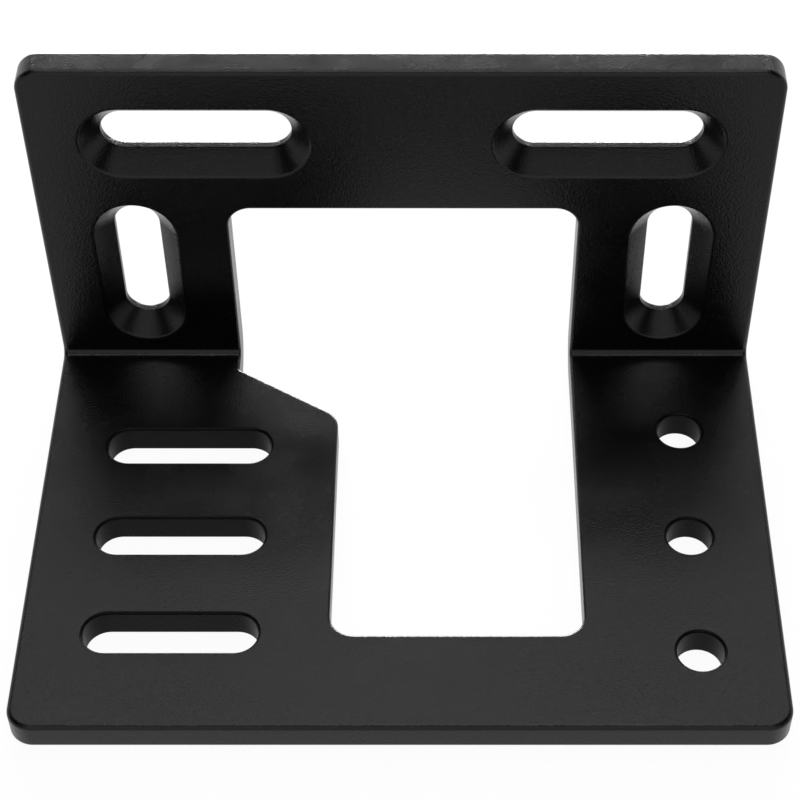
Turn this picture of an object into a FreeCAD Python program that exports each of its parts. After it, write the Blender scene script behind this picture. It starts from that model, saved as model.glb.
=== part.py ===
import FreeCAD, Part
import math
import os

os.makedirs("parts", exist_ok=True)

# Frame: X across the width, +Y towards the upright, +Z up.
# Origin: under the middle of the base leg's footprint.
# All sizes in mm.

# bent plate
width = 145.0
depth = 101.3
height = 81.2
plate = 6.35
bend_inside = 2.5
corner_radius = 4.75
outline_round = 1.0
rim_break = 0.45

# window that runs through the bend
side_leg = 37.65
slot_leg = 58.85
top_bar = 34.1
front_bar = 20.95
notch_from_upright = 4.95
notch_angle = 32.0
notch_relief = 0.5

# round holes and plain slots in the base leg
hole_diameter = 9.0
hole_pitch = 27.75
hole_from_side = 16.05
base_slot_length = 33.3
base_slot_pitch = 23.55
base_slot_from_side = 28.8
row_before_middle = 5.6

# countersunk slots in the upright
slot_width = 9.0
wide_slot_length = 36.9
wide_slot_from_top = 17.35
tall_slot_length = 29.6
tall_slot_from_side = 18.75
tall_slot_height = 29.4
sink_width = 16.8
sink_angle = 82.0

# derived places
half_width = width / 2
back_y = depth / 2
front_y = -depth / 2
face_y = back_y - plate
bend_outside = bend_inside + plate
row_y = -row_before_middle
hole_x = half_width - hole_from_side
base_slot_x = -half_width + base_slot_from_side
tall_slot_x = half_width - tall_slot_from_side
wide_slot_x = tall_slot_x + slot_width / 2 - wide_slot_length / 2
wide_slot_height = height - wide_slot_from_top
overrun = 2.0


def vec(x, y, z):
    return FreeCAD.Vector(x, y, z)


def bend_arc(radius):
    # quarter circle of the bend, about the shared bend axis
    axis_y = face_y - bend_inside
    axis_z = plate + bend_inside
    lean = radius * math.sin(math.pi / 4)
    low = vec(-half_width, axis_y, axis_z - radius)
    middle = vec(-half_width, axis_y + lean, axis_z - lean)
    high = vec(-half_width, axis_y + radius, axis_z)
    return low, Part.Arc(low, middle, high).toShape(), high


def bent_plate():
    # side profile of the L, drawn at the left end and swept across the width
    inner_low, inner_arc, inner_high = bend_arc(bend_inside)
    outer_low, outer_arc, outer_high = bend_arc(bend_outside)
    toe_top = vec(-half_width, front_y, plate)
    toe_bottom = vec(-half_width, front_y, 0)
    head_inner = vec(-half_width, face_y, height)
    head_outer = vec(-half_width, back_y, height)
    edges = [
        Part.makeLine(toe_bottom, outer_low),
        outer_arc,
        Part.makeLine(outer_high, head_outer),
        Part.makeLine(head_outer, head_inner),
        Part.makeLine(head_inner, inner_high),
        inner_arc,
        Part.makeLine(inner_low, toe_top),
        Part.makeLine(toe_top, toe_bottom),
    ]
    profile = Part.Face(Part.Wire(edges))
    return profile.extrude(vec(width, 0, 0))


def rounded_outline(corners):
    # closed wire from (point, corner radius) pairs, each corner a tangent arc
    count = len(corners)
    joints = []
    for i in range(count):
        point, radius = corners[i]
        before = (corners[i - 1][0] - point).normalize()
        after = (corners[(i + 1) % count][0] - point).normalize()
        half_angle = before.getAngle(after) / 2
        if radius == 0:
            joints.append((point, None, point))
            continue
        run = radius / math.tan(half_angle)
        bisector = (before + after).normalize()
        reach = radius / math.sin(half_angle) - radius
        joints.append((point + before * run, point + bisector * reach, point + after * run))
    edges = []
    for i in range(count):
        start, middle, end = joints[i]
        if middle is not None:
            edges.append(Part.Arc(start, middle, end).toShape())
        edges.append(Part.makeLine(end, joints[(i + 1) % count][0]))
    return Part.Wire(edges)


def prism(wire, travel):
    return Part.Face(wire).extrude(travel)


def base_outline():
    # plan of the base leg with its two rounded front corners
    far = back_y + overrun
    wire = rounded_outline([
        (vec(-half_width, front_y, -overrun), corner_radius),
        (vec(half_width, front_y, -overrun), corner_radius),
        (vec(half_width, far, -overrun), 0),
        (vec(-half_width, far, -overrun), 0),
    ])
    return prism(wire, vec(0, 0, height + 2 * overrun))


def upright_outline():
    # front view of the upright with its two rounded top corners
    start = front_y - overrun
    wire = rounded_outline([
        (vec(-half_width, start, height), corner_radius),
        (vec(half_width, start, height), corner_radius),
        (vec(half_width, start, -overrun), 0),
        (vec(-half_width, start, -overrun), 0),
    ])
    return prism(wire, vec(0, depth + 2 * overrun, 0))


def base_window():
    # plan of the window in the base leg, with the slanted side behind the slots
    left = -half_width + side_leg
    inner_left = -half_width + slot_leg
    right = half_width - side_leg
    near = front_y + front_bar
    far = back_y + overrun
    notch_y = face_y - notch_from_upright
    slant_end = notch_y - (inner_left - left) * math.tan(math.radians(notch_angle))
    wire = rounded_outline([
        (vec(left, far, -overrun), 0),
        (vec(left, notch_y, -overrun), notch_relief),
        (vec(inner_left, slant_end, -overrun), corner_radius),
        (vec(inner_left, near, -overrun), corner_radius),
        (vec(right, near, -overrun), corner_radius),
        (vec(right, far, -overrun), 0),
    ])
    return prism(wire, vec(0, 0, bend_outside + 2 * overrun))


def upright_window():
    # front view of the window in the upright
    left = -half_width + side_leg
    right = half_width - side_leg
    start = face_y - bend_inside
    top = height - top_bar
    wire = rounded_outline([
        (vec(left, start, -overrun), 0),
        (vec(left, start, top), corner_radius),
        (vec(right, start, top), corner_radius),
        (vec(right, start, -overrun), 0),
    ])
    return prism(wire, vec(0, plate + bend_inside + overrun, 0))


def slot_wire(length, breadth):
    # stadium outline in the XY plane, long way along X
    radius = breadth / 2
    reach = length / 2 - radius
    top_left = vec(-reach, radius, 0)
    top_right = vec(reach, radius, 0)
    low_left = vec(-reach, -radius, 0)
    low_right = vec(reach, -radius, 0)
    return Part.Wire([
        Part.makeLine(low_left, low_right),
        Part.Arc(low_right, vec(length / 2, 0, 0), top_right).toShape(),
        Part.makeLine(top_right, top_left),
        Part.Arc(top_left, vec(-length / 2, 0, 0), low_left).toShape(),
    ])


def slot_cutter(length, breadth):
    # straight slot through a plate that lies below z = 0
    cutter = prism(slot_wire(length, breadth), vec(0, 0, plate + 2 * overrun))
    cutter.translate(vec(0, 0, -plate - overrun))
    return cutter


def sink_cutter(length):
    # tapered mouth of a slot: a cone at each end and a wedge between them
    mouth = sink_width / 2
    throat = slot_width / 2
    slope = math.tan(math.radians(sink_angle / 2))
    sink_depth = (mouth - throat) / slope
    lift = overrun / 2
    wide = mouth + lift * slope
    reach = length / 2 - throat
    tall = sink_depth + lift
    wedge_points = [
        vec(-reach, -throat, -sink_depth),
        vec(-reach, throat, -sink_depth),
        vec(-reach, wide, lift),
        vec(-reach, -wide, lift),
        vec(-reach, -throat, -sink_depth),
    ]
    wedge = prism(Part.makePolygon(wedge_points), vec(2 * reach, 0, 0))
    left = Part.makeCone(throat, wide, tall, vec(-reach, 0, -sink_depth), vec(0, 0, 1))
    right = Part.makeCone(throat, wide, tall, vec(reach, 0, -sink_depth), vec(0, 0, 1))
    return wedge.fuse([left, right]).removeSplitter()


def base_slot(y):
    cutter = slot_cutter(base_slot_length, hole_diameter)
    cutter.translate(vec(base_slot_x, y, plate))
    return cutter


def base_hole(y):
    start = vec(hole_x, y, -overrun)
    return Part.makeCylinder(hole_diameter / 2, plate + 2 * overrun, start)


def upright_slot(length, x, z, turn):
    # the slot is drawn flat, turned in its plane, then stood up against the upright
    cutter = slot_cutter(length, slot_width).fuse(sink_cutter(length))
    cutter.rotate(vec(0, 0, 0), vec(0, 0, 1), turn)
    cutter.rotate(vec(0, 0, 0), vec(1, 0, 0), 90)
    cutter.translate(vec(x, face_y, z))
    return cutter


def on_sheet(face):
    # true for the plate's two broad sides, flat or bent, not for its thin edges
    surface = face.Surface
    if isinstance(surface, Part.Cylinder):
        return abs(surface.Axis.x) > 0.99
    if not isinstance(surface, Part.Plane):
        return False
    place = face.CenterOfMass
    if abs(surface.Axis.z) > 0.99:
        return min(abs(place.z), abs(place.z - plate)) < 0.01
    if abs(surface.Axis.y) > 0.99:
        return min(abs(place.y - face_y), abs(place.y - back_y)) < 0.01
    return False


def outline_edges(shape):
    # edges between a broad side and a thin edge of the plate
    counted = {}
    for face in shape.Faces:
        if not on_sheet(face):
            continue
        for edge in face.Edges:
            key = edge.hashCode()
            counted.setdefault(key, []).append(edge)
    return [found[0] for found in counted.values() if len(found) == 1]


def rim_edges(shape):
    # edges around every slot and hole: the inner wires of the broad sides
    rims = []
    for face in shape.Faces:
        if not on_sheet(face):
            continue
        for wire in face.Wires:
            if not wire.isSame(face.OuterWire):
                rims.extend(wire.Edges)
    return rims


def bracket():
    body = bent_plate().common(base_outline()).common(upright_outline())
    body = body.cut(base_window().fuse(upright_window()))
    body = body.removeSplitter()
    body = body.makeFillet(outline_round, outline_edges(body))
    cutters = []
    for step in (-1, 0, 1):
        cutters.append(base_slot(row_y + step * base_slot_pitch))
        cutters.append(base_hole(row_y + step * hole_pitch))
    for side in (-1, 1):
        cutters.append(upright_slot(wide_slot_length, side * wide_slot_x, wide_slot_height, 0))
        cutters.append(upright_slot(tall_slot_length, side * tall_slot_x, tall_slot_height, 90))
    body = body.cut(cutters)
    body = body.makeChamfer(rim_break, rim_edges(body))
    return body.Solids[0]


shape = bracket()
shape.exportStep("parts/bracket.step")
print("bracket", len(shape.Faces), "faces", round(shape.Volume / 1000, 2), "cm3")
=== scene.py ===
import math

import bmesh
import bpy
from mathutils.geometry import delaunay_2d_cdt
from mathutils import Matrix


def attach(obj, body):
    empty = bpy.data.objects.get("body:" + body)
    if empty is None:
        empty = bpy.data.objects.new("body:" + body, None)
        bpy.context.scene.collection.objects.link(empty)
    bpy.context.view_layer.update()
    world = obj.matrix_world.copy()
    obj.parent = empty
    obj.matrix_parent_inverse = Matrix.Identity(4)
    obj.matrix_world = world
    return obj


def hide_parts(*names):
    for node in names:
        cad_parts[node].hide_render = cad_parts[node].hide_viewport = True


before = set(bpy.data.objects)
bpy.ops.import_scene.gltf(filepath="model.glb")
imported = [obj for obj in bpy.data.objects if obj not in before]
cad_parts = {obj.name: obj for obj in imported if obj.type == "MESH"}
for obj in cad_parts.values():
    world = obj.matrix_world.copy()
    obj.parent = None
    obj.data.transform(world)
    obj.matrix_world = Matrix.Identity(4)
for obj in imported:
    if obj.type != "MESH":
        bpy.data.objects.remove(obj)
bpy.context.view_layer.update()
print("stage 1: CAD bracket loaded")

mm = 0.001
sameSpot = 1e-6     # mm; points closer than this lie in one place
mergeGap = 1e-7     # mm; points closer than this become one

# The plate's real sizes in mm, the same ones that the CAD source has, apart from the softened
# edges and the inside radius of the bend, which follow the photo more closely here
plate = {
    "width": 145.0,
    "depth": 101.3,
    "height": 81.2,
    "thickness": 6.35,
    "insideRadius": 1.3,     # of the bend
    "cornerRadius": 4.75,
    "edgeRound": 1.0,        # softened edge of the outline
    "edgeSteps": 6,
    "cornerSteps": 14,       # in a quarter turn
    "fewestSteps": 3,        # in a corner of any turn
    "bendSteps": 18,
    "latticePitch": 6.0,     # spacing of the plain points inside the flat faces
    "latticeClear": 2.0,     # from such a point to the nearest edge
}

# the window through the bend, sizes in mm
window = {
    "sideLeg": 37.65,
    "slotLeg": 58.85,
    "topBar": 34.1,
    "frontBar": 20.95,
    "notchFromUpright": 4.95,
    "notchAngle": 32.0,
    "notchRelief": 0.5,
    "edgeRound": 0.55,
}

# plain slots and round holes in the base leg, sizes in mm
baseOpenings = {
    "holeDiameter": 9.0,
    "holePitch": 27.75,
    "holeFromSide": 16.05,
    "slotLength": 33.3,
    "slotPitch": 23.55,
    "slotFromSide": 28.8,
    "rowBeforeMiddle": 5.6,
    "rimRound": 0.55,
    "rimSteps": 5,
    "endSteps": 24,
}

# countersunk slots in the upright, sizes in mm
sunkSlots = {
    "width": 9.0,
    "wideLength": 36.9,
    "wideFromTop": 17.35,
    "tallLength": 29.6,
    "tallFromSide": 18.75,
    "tallHeight": 29.4,
    "mouthWidth": 16.8,
    "mouthAngle": 82.0,
    "mouthRound": 0.45,
    "throatRound": 0.2,
    "backRound": 0.55,
    "rimSteps": 4,
    "endSteps": 28,
}

# Places on the flat blank: x across, y along the sheet from the base leg's front edge
halfWidth = plate["width"] / 2
frontY = -plate["depth"] / 2
faceY = plate["depth"] / 2 - plate["thickness"]
bendStart = faceY - plate["insideRadius"]
bendRun = (plate["insideRadius"] + plate["thickness"] / 2) * math.pi / 2
bendTop = plate["thickness"] + plate["insideRadius"]


def onUpright(z):
    # y on the flat blank of a height z on the upright
    return bendStart + bendRun + z - bendTop


def arcPoints(centre, radius, start, sweep, steps):
    return [
        (centre[0] + radius * math.cos(start + sweep * i / steps),
         centre[1] + radius * math.sin(start + sweep * i / steps))
        for i in range(steps + 1)
    ]


def roundedLoop(corners, inset, solidInside, rows):
    # A closed loop of (point, radius) corners, going anticlockwise, moved by inset into the metal.
    # rows are y values where the upright stretches of the loop get a point of their own.
    side = 1 if solidInside else -1
    count = len(corners)
    loop = []
    for i in range(count):
        (x, y), radius = corners[i]
        (x0, y0), (x1, y1) = corners[i - 1][0], corners[(i + 1) % count][0]
        before = math.atan2(y - y0, x - x0)
        after = math.atan2(y1 - y, x1 - x)
        turn = (after - before + math.pi) % (2 * math.pi) - math.pi
        run = radius * math.tan(abs(turn) / 2)
        startX = x - run * math.cos(before)
        startY = y - run * math.sin(before)
        hand = 1 if turn > 0 else -1
        centre = (startX - hand * radius * math.sin(before),
                  startY + hand * radius * math.cos(before))
        moved = radius - side * hand * inset
        steps = round(plate["cornerSteps"] * abs(turn) / (math.pi / 2))
        steps = max(plate["fewestSteps"], steps)
        loop.append(arcPoints(centre, moved, before - hand * math.pi / 2, turn, steps))
    points = []
    for i in range(count):
        points.extend(loop[i])
        (xEnd, yEnd), (xNext, yNext) = loop[i][-1], loop[(i + 1) % count][0]
        if abs(xEnd - xNext) < sameSpot:
            between = [y for y in rows if min(yEnd, yNext) < y < max(yEnd, yNext)]
            points.extend((xEnd, y) for y in sorted(between, reverse=yEnd > yNext))
    return points


def slotLoop(centre, length, breadth, upright, steps):
    # a stadium or a circle, anticlockwise, its long way along x or along y
    reach = (length - breadth) / 2
    dx, dy = (0, reach) if upright else (reach, 0)
    first = 0 if upright else -math.pi / 2
    near = arcPoints((centre[0] + dx, centre[1] + dy), breadth / 2, first, math.pi, steps)
    far = arcPoints((centre[0] - dx, centre[1] - dy), breadth / 2, first + math.pi, math.pi, steps)
    if reach < sameSpot:
        return near[:-1] + far[:-1]
    return near + far


def slotWall(place, length, breadth, upright, steps):
    # the slot's loop as a function of how far it is moved into the metal
    def loopAt(inset):
        return slotLoop(place, length + 2 * inset, breadth + 2 * inset, upright, steps)
    return loopAt


def quarterRound(radius, steps):
    # (how far the metal steps back, depth below the broad side) pairs of one softened edge
    turns = [math.pi / 2 * i / steps for i in range(steps + 1)]
    return [(radius * (1 - math.sin(a)), radius * (1 - math.cos(a))) for a in turns]


def softCorner(before, corner, after, reach, steps):
    # rounds a corner of a section line with a smooth curve that starts and ends reach away from it
    def toward(end):
        gap = math.hypot(end[0] - corner[0], end[1] - corner[1])
        return [corner[k] + (end[k] - corner[k]) * reach / gap for k in (0, 1)]
    start, finish = toward(before), toward(after)
    section = []
    for i in range(steps + 1):
        t = i / steps
        a, b, c = (1 - t) ** 2, 2 * t * (1 - t), t * t
        section.append(tuple(a * start[k] + b * corner[k] + c * finish[k] for k in (0, 1)))
    return section


def edgeSection(radius, steps):
    # section of a plain wall: softened at the top, straight, softened at the bottom
    top = quarterRound(radius, steps)
    return top + [(inset, plate["thickness"] - depth) for inset, depth in reversed(top)]


def sinkSection():
    # section of a countersunk wall: mouth, slope, throat, softened back rim
    thickness = plate["thickness"]
    wide = (sunkSlots["mouthWidth"] - sunkSlots["width"]) / 2
    deep = wide / math.tan(math.radians(sunkSlots["mouthAngle"] / 2))
    steps = sunkSlots["rimSteps"]
    edge, bottom = (wide, 0), (0, deep)
    mouth = softCorner((2 * wide, 0), edge, bottom, sunkSlots["mouthRound"], steps)
    throat = softCorner(edge, bottom, (0, thickness), sunkSlots["throatRound"], steps)
    back = quarterRound(sunkSlots["backRound"], steps)
    return mouth + throat + [(inset, thickness - depth) for inset, depth in reversed(back)]


def insideLoop(x, y, loop):
    inside = False
    for i in range(len(loop)):
        (x0, y0), (x1, y1) = loop[i - 1], loop[i]
        if (y0 > y) != (y1 > y) and x < (x1 - x0) * (y - y0) / (y1 - y0) + x0:
            inside = not inside
    return inside


def gapToLoop(x, y, loop):
    return min(math.hypot(x - px, y - py) for px, py in loop)


def addWall(bm, rings, solidInside):
    # joins the rings of one wall, from the top broad side down to the bottom one
    faces = []
    for upper, lower in zip(rings, rings[1:]):
        for i in range(len(upper)):
            quad = [upper[i - 1], upper[i], lower[i], lower[i - 1]]
            faces.append(bm.faces.new(reversed(quad) if solidInside else quad))
    return faces


def addBroadSide(bm, rings, z, rows, faceUp):
    # fills the flat face between the outline's ring and the openings' rings
    loops = [[(v.co.x, v.co.y) for v in ring] for ring in rings]

    def onMetal(x, y):
        return insideLoop(x, y, loops[0]) and not any(insideLoop(x, y, lp) for lp in loops[1:])

    verts, edges = [], []
    for ring in rings:
        base = len(verts)
        verts.extend(ring)
        edges.extend((base + i, base + (i + 1) % len(ring)) for i in range(len(ring)))
    for y in rows:
        across = sorted((v.co.x, k) for k, v in enumerate(verts) if abs(v.co.y - y) < sameSpot)
        ends = [k for x, k in across]
        edges.extend(zip(ends[0::2], ends[1::2]))
    pitch = plate["latticePitch"]
    x = -halfWidth + pitch
    while x < halfWidth:
        y = frontY + pitch
        while y < onUpright(plate["height"]):
            clear = not rows[0] - pitch / 2 < y < rows[-1] + pitch / 2
            if clear and onMetal(x, y):
                if min(gapToLoop(x, y, lp) for lp in loops) > plate["latticeClear"]:
                    verts.append(bm.verts.new((x, y, z)))
            y += pitch
        x += pitch
    found = delaunay_2d_cdt([v.co.xy for v in verts], edges, [], 0, mergeGap)
    kept = [verts[origin[0]] for origin in found[3]]
    for tri in found[2]:
        corners = [kept[k] for k in tri]
        x = sum(v.co.x for v in corners) / 3
        y = sum(v.co.y for v in corners) / 3
        if onMetal(x, y):
            bm.faces.new(corners if faceUp else reversed(corners))


def flatBlank():
    # the whole plate before it is bent, lying on the floor, in mm
    top = onUpright(plate["height"])
    rows = [bendStart + bendRun * i / plate["bendSteps"] for i in range(plate["bendSteps"] + 1)]
    corner = plate["cornerRadius"]
    outline = [
        ((-halfWidth, frontY), corner),
        ((halfWidth, frontY), corner),
        ((halfWidth, top), corner),
        ((-halfWidth, top), corner),
    ]
    left = -halfWidth + window["sideLeg"]
    innerLeft = -halfWidth + window["slotLeg"]
    right = halfWidth - window["sideLeg"]
    notchY = faceY - window["notchFromUpright"]
    slantEnd = notchY - (innerLeft - left) * math.tan(math.radians(window["notchAngle"]))
    near = frontY + window["frontBar"]
    far = onUpright(plate["height"] - window["topBar"])
    opening = [
        ((innerLeft, near), corner),
        ((right, near), corner),
        ((right, far), corner),
        ((left, far), corner),
        ((left, notchY), window["notchRelief"]),
        ((innerLeft, slantEnd), corner),
    ]
    walls = []  # (function from inset to loop, section, metal inside the loop, narrow cut)
    softEdge = edgeSection(plate["edgeRound"], plate["edgeSteps"])
    walls.append((lambda inset: roundedLoop(outline, inset, True, rows), softEdge, True, False))
    crispEdge = edgeSection(window["edgeRound"], plate["edgeSteps"])
    walls.append((lambda inset: roundedLoop(opening, inset, False, rows), crispEdge, False, False))

    rim = edgeSection(baseOpenings["rimRound"], baseOpenings["rimSteps"])
    diameter = baseOpenings["holeDiameter"]
    slotX = -halfWidth + baseOpenings["slotFromSide"]
    holeX = halfWidth - baseOpenings["holeFromSide"]
    middleY = -baseOpenings["rowBeforeMiddle"]
    for step in (-1, 0, 1):
        slotAt = (slotX, middleY + step * baseOpenings["slotPitch"])
        holeAt = (holeX, middleY + step * baseOpenings["holePitch"])
        for place, length in ((slotAt, baseOpenings["slotLength"]), (holeAt, diameter)):
            loopAt = slotWall(place, length, diameter, False, baseOpenings["endSteps"])
            walls.append((loopAt, rim, False, True))

    sunk = sinkSection()
    breadth = sunkSlots["width"]
    tallX = halfWidth - sunkSlots["tallFromSide"]
    wideX = tallX + breadth / 2 - sunkSlots["wideLength"] / 2
    wideY = onUpright(plate["height"] - sunkSlots["wideFromTop"])
    tallY = onUpright(sunkSlots["tallHeight"])
    for side in (-1, 1):
        wideSlot = ((side * wideX, wideY), sunkSlots["wideLength"], False)
        tallSlot = ((side * tallX, tallY), sunkSlots["tallLength"], True)
        for place, length, tall in (wideSlot, tallSlot):
            loopAt = slotWall(place, length, breadth, tall, sunkSlots["endSteps"])
            walls.append((loopAt, sunk, False, False))

    bm = bmesh.new()
    topRings, bottomRings = [], []
    cutLayer = bm.faces.layers.bool.new("inCut")
    for loopAt, section, solidInside, narrow in walls:
        rings = []
        for inset, depth in section:
            z = plate["thickness"] - depth
            rings.append([bm.verts.new((x, y, z)) for x, y in loopAt(inset)])
        for face in addWall(bm, rings, solidInside):
            face[cutLayer] = narrow
        topRings.append(rings[0])
        bottomRings.append(rings[-1])
    addBroadSide(bm, topRings, plate["thickness"], rows, True)
    addBroadSide(bm, bottomRings, 0.0, rows, False)
    bmesh.ops.scale(bm, vec=(mm, mm, mm), verts=bm.verts)
    return bm


bend = {
    "Bend Start": bendStart * mm,
    "Bend Run": bendRun * mm,
    "Inside Radius": plate["insideRadius"] * mm,
    "Thickness": plate["thickness"] * mm,
    "Bend Angle": math.pi / 2,
}


def bendTree(coat, shadedCutCoat):
    # Geometry Nodes that fold the flat blank up along its bend line
    tree = bpy.data.node_groups.new("foldPlate", "GeometryNodeTree")
    tree.interface.new_socket("Geometry", in_out="INPUT", socket_type="NodeSocketGeometry")
    for name, value in bend.items():
        socket = tree.interface.new_socket(name, in_out="INPUT", socket_type="NodeSocketFloat")
        socket.default_value = value
    tree.interface.new_socket("Geometry", in_out="OUTPUT", socket_type="NodeSocketGeometry")
    nodes, links = tree.nodes, tree.links
    sizes = nodes.new("NodeGroupInput")
    place = nodes.new("GeometryNodeInputPosition")
    split = nodes.new("ShaderNodeSeparateXYZ")
    links.new(place.outputs[0], split.inputs[0])

    def calc(operation, *values):
        node = nodes.new("ShaderNodeMath")
        node.operation = operation
        for socket, value in zip(node.inputs, values):
            if isinstance(value, (int, float)):
                socket.default_value = value
            else:
                links.new(value, socket)
        return node.outputs[0]

    start, run = sizes.outputs["Bend Start"], sizes.outputs["Bend Run"]
    inside, thick = sizes.outputs["Inside Radius"], sizes.outputs["Thickness"]
    full = sizes.outputs["Bend Angle"]
    past = calc("SUBTRACT", split.outputs["Y"], start)
    inBend = calc("MINIMUM", calc("MAXIMUM", past, 0.0), run)
    beyond = calc("MAXIMUM", calc("SUBTRACT", past, run), 0.0)
    angle = calc("MULTIPLY", calc("DIVIDE", inBend, run), full)
    radius = calc("ADD", inside, calc("SUBTRACT", thick, split.outputs["Z"]))
    axisZ = calc("ADD", inside, thick)
    sine, cosine = calc("SINE", angle), calc("COSINE", angle)
    forward = calc("ADD", calc("MULTIPLY", radius, sine), calc("MULTIPLY", beyond, cosine))
    foldY = calc("ADD", start, forward)
    lift = calc("SUBTRACT", axisZ, calc("MULTIPLY", radius, cosine))
    foldZ = calc("ADD", lift, calc("MULTIPLY", beyond, sine))
    join = nodes.new("ShaderNodeCombineXYZ")
    links.new(split.outputs["X"], join.inputs["X"])
    links.new(foldY, join.inputs["Y"])
    links.new(foldZ, join.inputs["Z"])
    move = nodes.new("GeometryNodeSetPosition")
    links.new(sizes.outputs["Geometry"], move.inputs["Geometry"])
    links.new(join.outputs[0], move.inputs["Position"])
    links.new(calc("GREATER_THAN", past, 0.0), move.inputs["Selection"])
    realize = nodes.new("GeometryNodeRealizeInstances")
    links.new(move.outputs[0], realize.inputs[0])
    inCut = nodes.new("GeometryNodeInputNamedAttribute")
    inCut.data_type = "BOOLEAN"
    inCut.inputs["Name"].default_value = "inCut"
    shape = realize.outputs[0]
    # the narrow cuts get the duller copy of the coat, which paints in the shade of the floor they
    # reflect
    for material, chosen in ((coat, None), (shadedCutCoat, inCut.outputs["Attribute"])):
        finish = nodes.new("GeometryNodeSetMaterial")
        finish.inputs["Material"].default_value = material
        links.new(shape, finish.inputs["Geometry"])
        if chosen:
            links.new(chosen, finish.inputs["Selection"])
        shape = finish.outputs[0]
    result = nodes.new("NodeGroupOutput")
    links.new(shape, result.inputs[0])
    return tree


coating = {
    "dark": (0.0002, 0.0002, 0.0002, 1.0),
    "pale": (0.0075, 0.0075, 0.008, 1.0),    # colour on the grains of the texture
    "roughness": 0.27,
    "unevenness": 0.03,      # how far the roughness strays either way
    "cloudSize": 0.009,      # metres across one dull or bright patch
    "ior": 1.31,
    "grainSize": 0.00035,    # metres between two grains
    "grainDepth": 0.00006,
    "grainDetail": 1.0,
    "speckStart": 0.6,       # height of a grain at which the pale colour starts
    "speckFull": 0.8,        # and at which it is full
    "cloudLow": 0.3,         # height of the cloud noise at which the coat is glossiest
    "cloudHigh": 0.7,        # and at which it is dullest
    "cutIor": 1.16,          # painted shade: a duller copy of the coat for the walls of the narrow cuts, standing in for the shadowed floor under the plate that they reflect; the coat is also thin and dull there
    "cutRoughness": 0.35,
}


def powderCoat(name, ior, roughness):
    material = bpy.data.materials.new(name)
    material.use_nodes = True
    nodes, links = material.node_tree.nodes, material.node_tree.links
    shader = nodes["Principled BSDF"]
    shader.inputs["IOR"].default_value = ior
    place = nodes.new("ShaderNodeTexCoord")
    grain = nodes.new("ShaderNodeTexNoise")
    grain.inputs["Scale"].default_value = 1 / coating["grainSize"]
    grain.inputs["Detail"].default_value = coating["grainDetail"]
    links.new(place.outputs["Object"], grain.inputs["Vector"])
    speck = nodes.new("ShaderNodeMapRange")
    speck.inputs["From Min"].default_value = coating["speckStart"]
    speck.inputs["From Max"].default_value = coating["speckFull"]
    links.new(grain.outputs["Fac"], speck.inputs["Value"])
    tint = nodes.new("ShaderNodeMix")
    tint.data_type = "RGBA"
    tint.inputs["A"].default_value = coating["dark"]
    tint.inputs["B"].default_value = coating["pale"]
    links.new(speck.outputs["Result"], tint.inputs["Factor"])
    links.new(tint.outputs["Result"], shader.inputs["Base Color"])
    cloud = nodes.new("ShaderNodeTexNoise")
    cloud.inputs["Scale"].default_value = 1 / coating["cloudSize"]
    links.new(place.outputs["Object"], cloud.inputs["Vector"])
    sheen = nodes.new("ShaderNodeMapRange")
    sheen.inputs["From Min"].default_value = coating["cloudLow"]
    sheen.inputs["From Max"].default_value = coating["cloudHigh"]
    sheen.inputs["To Min"].default_value = roughness - coating["unevenness"]
    sheen.inputs["To Max"].default_value = roughness + coating["unevenness"]
    links.new(cloud.outputs["Fac"], sheen.inputs["Value"])
    links.new(sheen.outputs["Result"], shader.inputs["Roughness"])
    bump = nodes.new("ShaderNodeBump")
    bump.inputs["Distance"].default_value = coating["grainDepth"]
    links.new(grain.outputs["Fac"], bump.inputs["Height"])
    links.new(bump.outputs["Normal"], shader.inputs["Normal"])
    return material


coat = powderCoat("powderCoat", coating["ior"], coating["roughness"])
# painted shade: the narrow cuts' walls get a duller, less reflective copy of the coat in place of
# the shadow of the floor they reflect
shadedCutCoat = powderCoat("shadedCutCoat", coating["cutIor"], coating["cutRoughness"])
print("stage 2: powder coat made")

blankMesh = bpy.data.meshes.new("flatBlank")
blank = flatBlank()
blank.to_mesh(blankMesh)
blank.free()
blankObject = bpy.data.objects.new("flatBlank", blankMesh)
bpy.context.scene.collection.objects.link(blankObject)
fold = blankObject.modifiers.new("fold", "NODES")
fold.node_group = bendTree(coat, shadedCutCoat)
evaluated = blankObject.evaluated_get(bpy.context.evaluated_depsgraph_get())
foldedMesh = bpy.data.meshes.new_from_object(evaluated)
foldedMesh.name = "coatedPlate"
bpy.data.objects.remove(blankObject)
coatedPlate = bpy.data.objects.new("coatedPlate", foldedMesh)
bpy.context.scene.collection.objects.link(coatedPlate)
foldedMesh.shade_smooth()
even = coatedPlate.modifiers.new("evenShading", "WEIGHTED_NORMAL")
even.weight = 100       # the flat faces decide how the rounded edges meet them
even.keep_sharp = False
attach(coatedPlate, "root")
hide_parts("bracket")
print("stage 3: plate folded,", len(foldedMesh.polygons), "faces")

# sizes in metres
studio = {
    "worldLevel": 0.06,
    "floorColor": (0.9, 0.9, 0.9, 1.0),
    "shadowShare": 0.06,    # how much of the floor takes light and shadow, the rest is plain white
    "floorSize": 6.0,
    "floorDrop": 0.00005,   # keeps the floor out of the plate's underside
    "wallHeight": 0.9,      # of the white walls around the floor, which low views look at
    "lampAway": 1.3,        # from the plate
}
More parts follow.
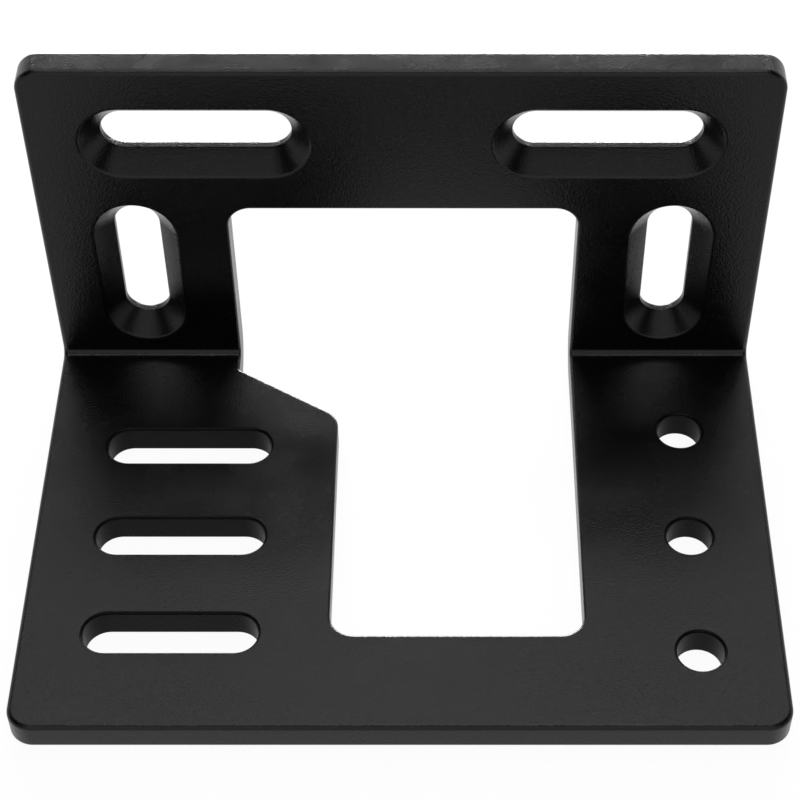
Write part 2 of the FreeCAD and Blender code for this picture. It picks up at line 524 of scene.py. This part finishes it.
# rise above the floor and turn from straight behind, in degrees; size in metres;
# level is how bright the face is, where 1 is white
softboxes = {
    "topBox": {"rise": 90.0, "turn": 0.0, "size": (0.8, 0.7), "level": 3.6},
    "rearBox": {"rise": 60.0, "turn": 0.0, "size": (1.3, 0.42), "level": 2.8},
    "lowStrip": {"rise": 9.5, "turn": 0.0, "size": (1.1, 0.38), "level": 40.0},
    "frontBox": {"rise": 38.0, "turn": 180.0, "size": (1.6, 1.2), "level": 1.15},
    "leftBox": {"rise": 22.0, "turn": -55.0, "size": (0.7, 0.7), "level": 0.8},
    "rightBox": {"rise": 22.0, "turn": 55.0, "size": (0.7, 0.7), "level": 0.8},
}


def makeFloor():
    material = bpy.data.materials.new("paleFloor")
    material.use_nodes = True
    nodes, links = material.node_tree.nodes, material.node_tree.links
    nodes.clear()
    rays = nodes.new("ShaderNodeLightPath")
    seen = rays.outputs["Is Camera Ray"]
    for ray in ("Is Glossy Ray", "Is Transmission Ray"):
        either = nodes.new("ShaderNodeMath")
        either.operation = "MAXIMUM"
        links.new(seen, either.inputs[0])
        links.new(rays.outputs[ray], either.inputs[1])
        seen = either.outputs[0]
    share = nodes.new("ShaderNodeMath")
    share.operation = "MULTIPLY"
    share.inputs[1].default_value = 1 - studio["shadowShare"]
    links.new(seen, share.inputs[0])
    plain = nodes.new("ShaderNodeBsdfDiffuse")
    plain.inputs["Color"].default_value = studio["floorColor"]
    white = nodes.new("ShaderNodeEmission")
    white.inputs["Strength"].default_value = 1.0
    mix = nodes.new("ShaderNodeMixShader")
    links.new(share.outputs[0], mix.inputs["Fac"])
    links.new(plain.outputs[0], mix.inputs[1])
    links.new(white.outputs[0], mix.inputs[2])
    result = nodes.new("ShaderNodeOutputMaterial")
    links.new(mix.outputs[0], result.inputs["Surface"])
    half = studio["floorSize"] / 2
    corners = [(-half, -half), (half, -half), (half, half), (-half, half)]
    points = [(x, y, z) for z in (0, studio["wallHeight"]) for x, y in corners]
    count = len(corners)
    faces = [tuple(range(count))]
    for i in range(count):
        after = (i + 1) % count
        faces.append((i, after, after + count, i + count))
    mesh = bpy.data.meshes.new("floor")
    mesh.from_pydata(points, [], faces)
    mesh.materials.append(material)
    floor = bpy.data.objects.new("floor", mesh)
    floor.location.z = -studio["floorDrop"]
    bpy.context.scene.collection.objects.link(floor)


def makeSoftbox(name, box):
    wide, tall = box["size"]
    lamp = bpy.data.lights.new(name, "AREA")
    lamp.shape = "RECTANGLE"
    lamp.size, lamp.size_y = wide, tall
    lamp.energy = box["level"] * math.pi * wide * tall
    softbox = bpy.data.objects.new(name, lamp)
    rise, turn = math.radians(box["rise"]), math.radians(box["turn"])
    along = studio["lampAway"] * math.cos(rise)
    up = studio["lampAway"] * math.sin(rise)
    softbox.location = (along * math.sin(turn), along * math.cos(turn), up)
    softbox.rotation_euler = (rise - math.pi / 2, 0, -turn)
    bpy.context.scene.collection.objects.link(softbox)


makeFloor()
for name, box in softboxes.items():
    makeSoftbox(name, box)
world = bpy.data.worlds.new("studio")
world.use_nodes = True
sky = world.node_tree.nodes["Background"]
sky.inputs["Color"].default_value = (1, 1, 1, 1)
sky.inputs["Strength"].default_value = studio["worldLevel"]
bpy.context.scene.world = world

photoCamera = {
    "place": (0.00713, -0.26414, 0.32694),
    "turn": (41.22, -0.088, -0.05),    # degrees; the first one leans the view down at the plate
    "lens": 94.15,
    "sensor": 36.0,
    "shift": (-0.05312, 0.06279),
    "nearest": 0.01,    # metres; nothing closer shows
}
cameraData = bpy.data.cameras.new("photoCamera")
cameraData.lens = photoCamera["lens"]
cameraData.sensor_width = photoCamera["sensor"]
cameraData.shift_x, cameraData.shift_y = photoCamera["shift"]
cameraData.clip_start = photoCamera["nearest"]
camera = bpy.data.objects.new("photoCamera", cameraData)
camera.location = photoCamera["place"]
camera.rotation_euler = [math.radians(angle) for angle in photoCamera["turn"]]
bpy.context.scene.collection.objects.link(camera)
bpy.context.scene.camera = camera
bpy.context.scene.view_settings.view_transform = "Standard"
print("stage 4: studio and camera set")
